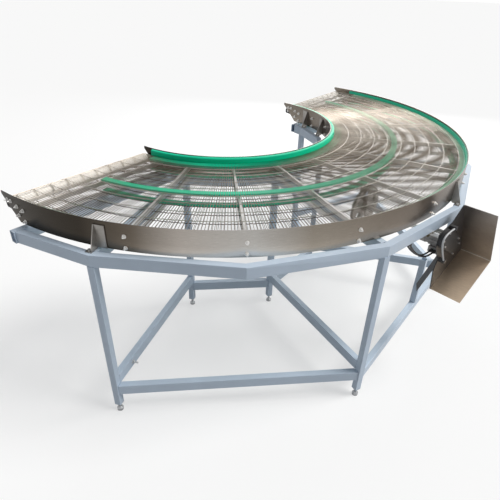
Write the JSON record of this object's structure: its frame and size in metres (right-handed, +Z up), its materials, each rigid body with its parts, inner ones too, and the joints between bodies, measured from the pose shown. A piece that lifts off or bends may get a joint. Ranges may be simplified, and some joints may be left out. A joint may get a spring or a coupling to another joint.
{
  "type": "rotary conveyor",
  "caption": "Half-circle wire-mesh belt conveyor on a polygonal tube frame with levelling feet, carrying goods round a flat curve between low side walls",
  "frame": {"origin": "on the floor, under the middle of the footprint", "axes": "+X runs from the infeed end to the discharge end, +Y points from the arc towards the ring centre side where both ends open, +Z is up"},
  "size_m": [2.823, 1.5926, 0.955],
  "materials": {
    "wall_steel": "brushed stainless sheet",
    "green_plastic": "smooth wear plastic",
    "pale_plastic": "smooth wear plastic",
    "belt_steel": "drawn stainless wire",
    "bright_steel": "machined stainless",
    "white_plastic": "turned plastic",
    "block_plastic": "moulded plastic",
    "frame_paint": "smooth blue-grey paint",
    "insert_plastic": "moulded plastic",
    "foot_metal": "zinc plated",
    "bracket_steel": "bent stainless plate",
    "sprocket_steel": "cut plate",
    "bearing_cast": "olive painted casting",
    "drive_black": "satin black paint",
    "motor_grey": "light grey cast aluminium",
    "guard_steel": "folded stainless sheet",
    "cable_black": "rubber sheath",
    "hose_grey": "smooth grey sheath"
  },
  "bodies": {
    "frame": {"belt_carry_links": "belt_steel", "belt_carry_rods": "belt_steel", "belt_nose_links": "belt_steel", "belt_nose_rods": "belt_steel", "belt_return_links": "belt_steel", "belt_return_rods": "belt_steel", "bracket_bolts": "bright_steel", "cable_ends": "block_plastic", "cable_hose": "hose_grey", "carry_cross_bars": "bright_steel", "drive_arm": "drive_black", "drive_bearing_block": "bearing_cast", "drive_guard": "guard_steel", "drive_hangers": "bracket_steel", "drive_mounting_plate": "drive_black", "drive_post": "frame_paint", "earth_stud": "bright_steel", "end_frame_tubes": "frame_paint", "foot_lock_nuts": "bright_steel", "gear_case": "drive_black", "gear_case_screws": "bright_steel", "green_carry_strips": "green_plastic", "inner_frame_tubes": "frame_paint", "inner_guide_strip": "green_plastic", "inner_legs": "frame_paint", "inner_side_wall": "wall_steel", "inner_wall_brackets": "bracket_steel", "leg_inserts": "insert_plastic", "lower_radial_rails": "frame_paint", "lower_ring_rails": "frame_paint", "motor_body": "motor_grey", "motor_cable_1": "cable_black", "motor_cable_2": "cable_black", "motor_fan_cowl": "motor_grey", "motor_terminal_box": "motor_grey", "nose_end_blocks": "block_plastic", "outer_carry_strip": "pale_plastic", "outer_frame_tubes": "frame_paint", "outer_guide_strip": "green_plastic", "outer_legs": "frame_paint", "outer_side_wall": "wall_steel", "outer_wall_brackets": "bracket_steel", "radial_frame_tubes": "frame_paint", "return_cross_bars": "bright_steel", "return_strips": "green_plastic", "side_wall_bolts": "bright_steel"},
    "drive": {"drive_shaft": "bright_steel", "drive_sprocket": "sprocket_steel"},
    "infeed_nose": {"infeed_nose_shaft": "bright_steel", "infeed_nose_rollers": "white_plastic"},
    "discharge_nose": {"discharge_nose_shaft": "bright_steel", "discharge_nose_rollers": "white_plastic"},
    "outer_foot_1": {"outer_foot_1": "foot_metal"},
    "outer_foot_2": {"outer_foot_2": "foot_metal"},
    "outer_foot_3": {"outer_foot_3": "foot_metal"},
    "outer_foot_4": {"outer_foot_4": "foot_metal"},
    "inner_foot_1": {"inner_foot_1": "foot_metal"},
    "inner_foot_2": {"inner_foot_2": "foot_metal"},
    "inner_foot_3": {"inner_foot_3": "foot_metal"},
    "inner_foot_4": {"inner_foot_4": "foot_metal"}
  },
  "joints": [
    {"name": "drive_shaft_spin", "type": "hinge", "parent": "frame", "child": "drive", "pos_m": [-0.19186, -0.38827, 0.7721], "axis": [-0.1599, -0.9871, 0], "continuous": true},
    {"name": "infeed_nose_spin", "type": "hinge", "parent": "frame", "child": "infeed_nose", "pos_m": [-0.99, 0.7683, 0.9037], "axis": [1, 0, 0], "continuous": true},
    {"name": "discharge_nose_spin", "type": "hinge", "parent": "frame", "child": "discharge_nose", "pos_m": [0.99, 0.7683, 0.9037], "axis": [-1, 0, 0], "continuous": true},
    {"name": "outer_foot_1_height", "type": "slide", "parent": "frame", "child": "outer_foot_1", "axis": [0, 0, -1], "range_m": [0, 0.02]},
    {"name": "outer_foot_2_height", "type": "slide", "parent": "frame", "child": "outer_foot_2", "axis": [0, 0, -1], "range_m": [0, 0.02]},
    {"name": "outer_foot_3_height", "type": "slide", "parent": "frame", "child": "outer_foot_3", "axis": [0, 0, -1], "range_m": [0, 0.02]},
    {"name": "outer_foot_4_height", "type": "slide", "parent": "frame", "child": "outer_foot_4", "axis": [0, 0, -1], "range_m": [0, 0.02]},
    {"name": "inner_foot_1_height", "type": "slide", "parent": "frame", "child": "inner_foot_1", "axis": [0, 0, -1], "range_m": [0, 0.02]},
    {"name": "inner_foot_2_height", "type": "slide", "parent": "frame", "child": "inner_foot_2", "axis": [0, 0, -1], "range_m": [0, 0.02]},
    {"name": "inner_foot_3_height", "type": "slide", "parent": "frame", "child": "inner_foot_3", "axis": [0, 0, -1], "range_m": [0, 0.02]},
    {"name": "inner_foot_4_height", "type": "slide", "parent": "frame", "child": "inner_foot_4", "axis": [0, 0, -1], "range_m": [0, 0.02]}
  ],
  "couplings": [
    {"joint": "infeed_nose_spin", "follows": "drive_shaft_spin", "ratio": 4.2905},
    {"joint": "discharge_nose_spin", "follows": "drive_shaft_spin", "ratio": 4.2905}
  ]
}
